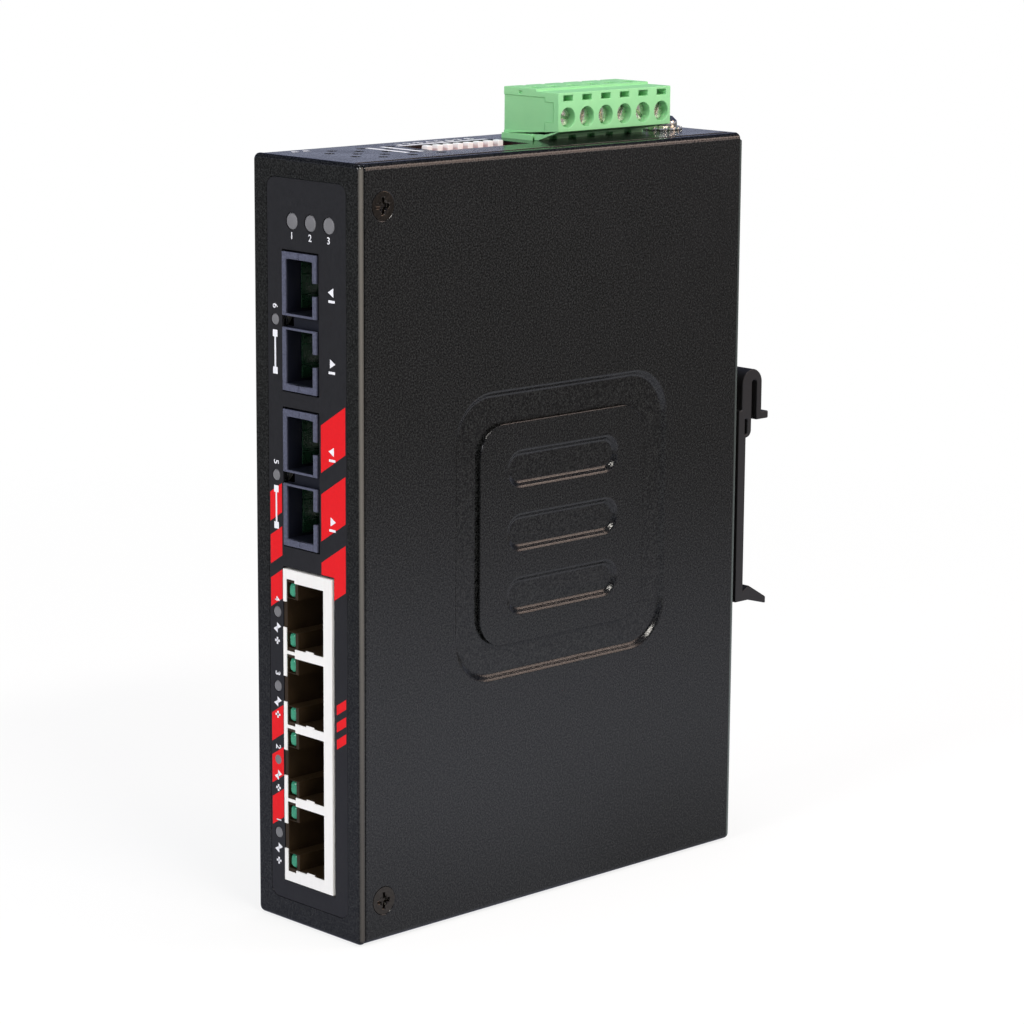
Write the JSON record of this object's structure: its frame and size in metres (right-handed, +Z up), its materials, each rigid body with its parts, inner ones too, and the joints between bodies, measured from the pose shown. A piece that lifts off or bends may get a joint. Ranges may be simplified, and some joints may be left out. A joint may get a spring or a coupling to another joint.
{
  "type": "power over ethernet switch",
  "caption": "Slim upright metal power over ethernet switch with copper and fibre ports on its narrow front, a pluggable screw terminal on top and a rail clip behind.",
  "frame": {"origin": "centre of the case's underside, where it stands on a bench", "axes": "+Z up the tall case, -Y out of the ports' face, +Y towards the rail clip, +X out of the broad pressed cover"},
  "size_m": [0.029, 0.1104, 0.1516],
  "materials": {
    "case_paint": "fine textured satin black powder coat",
    "front_film": "printed polycarbonate film",
    "black_screw": "black oxide steel",
    "board_laminate": "solder mask on glass laminate",
    "tinned_shield": "bright tinned sheet",
    "jack_moulding": "dark moulded insert",
    "spring_contact": "gold flashed",
    "port_lamp": "green lens",
    "fiber_moulding": "blue-black moulding",
    "sleeve": "smooth white sleeve",
    "light_pipe": "clear light pipe",
    "lamp": "clear lamp body",
    "terminal_green": "moulded green",
    "zinc": "bright zinc plate",
    "selector_red": "moulded red",
    "lever_white": "moulded white",
    "clip_moulding": "black moulding",
    "package": "moulded package",
    "sink": "extruded",
    "can": "drawn can",
    "core": "ferrite",
    "standoff": "turned"
  },
  "bodies": {
    "case": {"side_wrap": "case_paint", "front_chassis": "case_paint", "front_label": "front_film", "side_screws": "black_screw", "main_board": "board_laminate", "board_standoffs": "standoff", "board_screws": "zinc", "rj45_shield": "tinned_shield", "rj45_housing": "jack_moulding", "rj45_leds": "port_lamp", "rj45_contacts": "spring_contact", "fiber_module_upper": "fiber_moulding", "fiber_module_lower": "fiber_moulding", "fiber_sleeves": "sleeve", "fiber_pins": "spring_contact", "status_light_pipes": "light_pipe", "status_leds": "lamp", "port_light_pipes": "light_pipe", "port_leds": "lamp", "terminal_header": "terminal_green", "terminal_header_pins": "spring_contact", "selector_body": "selector_red", "selector_board": "board_laminate", "earth_screw": "zinc", "earth_washer": "zinc", "din_rail_clip": "clip_moulding", "din_clip_screws": "black_screw", "din_clip_nuts": "zinc", "switch_chip": "package", "switch_heatsink": "sink", "lan_transformers": "package", "poe_controller": "package", "power_inductors": "core", "bulk_capacitors": "can", "alarm_relay": "package", "input_fuse": "package"},
    "plug": {"terminal_plug": "terminal_green", "plug_contacts": "spring_contact"},
    "clamp_screw_1": {"terminal_screw_1": "zinc"},
    "clamp_screw_2": {"terminal_screw_2": "zinc"},
    "clamp_screw_3": {"terminal_screw_3": "zinc"},
    "clamp_screw_4": {"terminal_screw_4": "zinc"},
    "clamp_screw_5": {"terminal_screw_5": "zinc"},
    "clamp_screw_6": {"terminal_screw_6": "zinc"},
    "clamp_cage_1": {"wire_cage_1": "zinc"},
    "clamp_cage_2": {"wire_cage_2": "zinc"},
    "clamp_cage_3": {"wire_cage_3": "zinc"},
    "clamp_cage_4": {"wire_cage_4": "zinc"},
    "clamp_cage_5": {"wire_cage_5": "zinc"},
    "clamp_cage_6": {"wire_cage_6": "zinc"},
    "lever_1": {"selector_lever_1": "lever_white"},
    "lever_2": {"selector_lever_2": "lever_white"},
    "lever_3": {"selector_lever_3": "lever_white"},
    "lever_4": {"selector_lever_4": "lever_white"},
    "lever_5": {"selector_lever_5": "lever_white"},
    "lever_6": {"selector_lever_6": "lever_white"},
    "lever_7": {"selector_lever_7": "lever_white"},
    "lever_8": {"selector_lever_8": "lever_white"}
  },
  "joints": [
    {"name": "plug_lift", "type": "slide", "parent": "case", "child": "plug", "axis": [0, 0, 1], "range_m": [0, 0.012]},
    {"name": "clamp_screw_turn_1", "type": "hinge", "parent": "plug", "child": "clamp_screw_1", "pos_m": [0.004, 0.0085, 0.1465], "axis": [-1, 0, 0], "range_deg": [0, 864]},
    {"name": "clamp_screw_turn_2", "type": "hinge", "parent": "plug", "child": "clamp_screw_2", "pos_m": [0.004, 0.0135, 0.1465], "axis": [-1, 0, 0], "range_deg": [0, 864]},
    {"name": "clamp_screw_turn_3", "type": "hinge", "parent": "plug", "child": "clamp_screw_3", "pos_m": [0.004, 0.0185, 0.1465], "axis": [-1, 0, 0], "range_deg": [0, 864]},
    {"name": "clamp_screw_turn_4", "type": "hinge", "parent": "plug", "child": "clamp_screw_4", "pos_m": [0.004, 0.0235, 0.1465], "axis": [-1, 0, 0], "range_deg": [0, 864]},
    {"name": "clamp_screw_turn_5", "type": "hinge", "parent": "plug", "child": "clamp_screw_5", "pos_m": [0.004, 0.0285, 0.1465], "axis": [-1, 0, 0], "range_deg": [0, 864]},
    {"name": "clamp_screw_turn_6", "type": "hinge", "parent": "plug", "child": "clamp_screw_6", "pos_m": [0.004, 0.0335, 0.1465], "axis": [-1, 0, 0], "range_deg": [0, 864]},
    {"name": "clamp_cage_rise_1", "type": "slide", "parent": "plug", "child": "clamp_cage_1", "axis": [1, 0, 0], "range_m": [0, 0.0012]},
    {"name": "clamp_cage_rise_2", "type": "slide", "parent": "plug", "child": "clamp_cage_2", "axis": [1, 0, 0], "range_m": [0, 0.0012]},
    {"name": "clamp_cage_rise_3", "type": "slide", "parent": "plug", "child": "clamp_cage_3", "axis": [1, 0, 0], "range_m": [0, 0.0012]},
    {"name": "clamp_cage_rise_4", "type": "slide", "parent": "plug", "child": "clamp_cage_4", "axis": [1, 0, 0], "range_m": [0, 0.0012]},
    {"name": "clamp_cage_rise_5", "type": "slide", "parent": "plug", "child": "clamp_cage_5", "axis": [1, 0, 0], "range_m": [0, 0.0012]},
    {"name": "clamp_cage_rise_6", "type": "slide", "parent": "plug", "child": "clamp_cage_6", "axis": [1, 0, 0], "range_m": [0, 0.0012]},
    {"name": "lever_slide_1", "type": "slide", "parent": "case", "child": "lever_1", "axis": [1, 0, 0], "range_m": [0, 0.0014]},
    {"name": "lever_slide_2", "type": "slide", "parent": "case", "child": "lever_2", "axis": [1, 0, 0], "range_m": [0, 0.0014]},
    {"name": "lever_slide_3", "type": "slide", "parent": "case", "child": "lever_3", "axis": [1, 0, 0], "range_m": [0, 0.0014]},
    {"name": "lever_slide_4", "type": "slide", "parent": "case", "child": "lever_4", "axis": [1, 0, 0], "range_m": [0, 0.0014]},
    {"name": "lever_slide_5", "type": "slide", "parent": "case", "child": "lever_5", "axis": [1, 0, 0], "range_m": [0, 0.0014]},
    {"name": "lever_slide_6", "type": "slide", "parent": "case", "child": "lever_6", "axis": [1, 0, 0], "range_m": [0, 0.0014]},
    {"name": "lever_slide_7", "type": "slide", "parent": "case", "child": "lever_7", "axis": [1, 0, 0], "range_m": [0, 0.0014]},
    {"name": "lever_slide_8", "type": "slide", "parent": "case", "child": "lever_8", "axis": [1, 0, 0], "range_m": [0, 0.0014]}
  ],
  "couplings": [
    {"joint": "clamp_screw_turn_1", "follows": "clamp_cage_rise_1", "rad_per_m": 12566},
    {"joint": "clamp_screw_turn_2", "follows": "clamp_cage_rise_2", "rad_per_m": 12566},
    {"joint": "clamp_screw_turn_3", "follows": "clamp_cage_rise_3", "rad_per_m": 12566},
    {"joint": "clamp_screw_turn_4", "follows": "clamp_cage_rise_4", "rad_per_m": 12566},
    {"joint": "clamp_screw_turn_5", "follows": "clamp_cage_rise_5", "rad_per_m": 12566},
    {"joint": "clamp_screw_turn_6", "follows": "clamp_cage_rise_6", "rad_per_m": 12566}
  ]
}
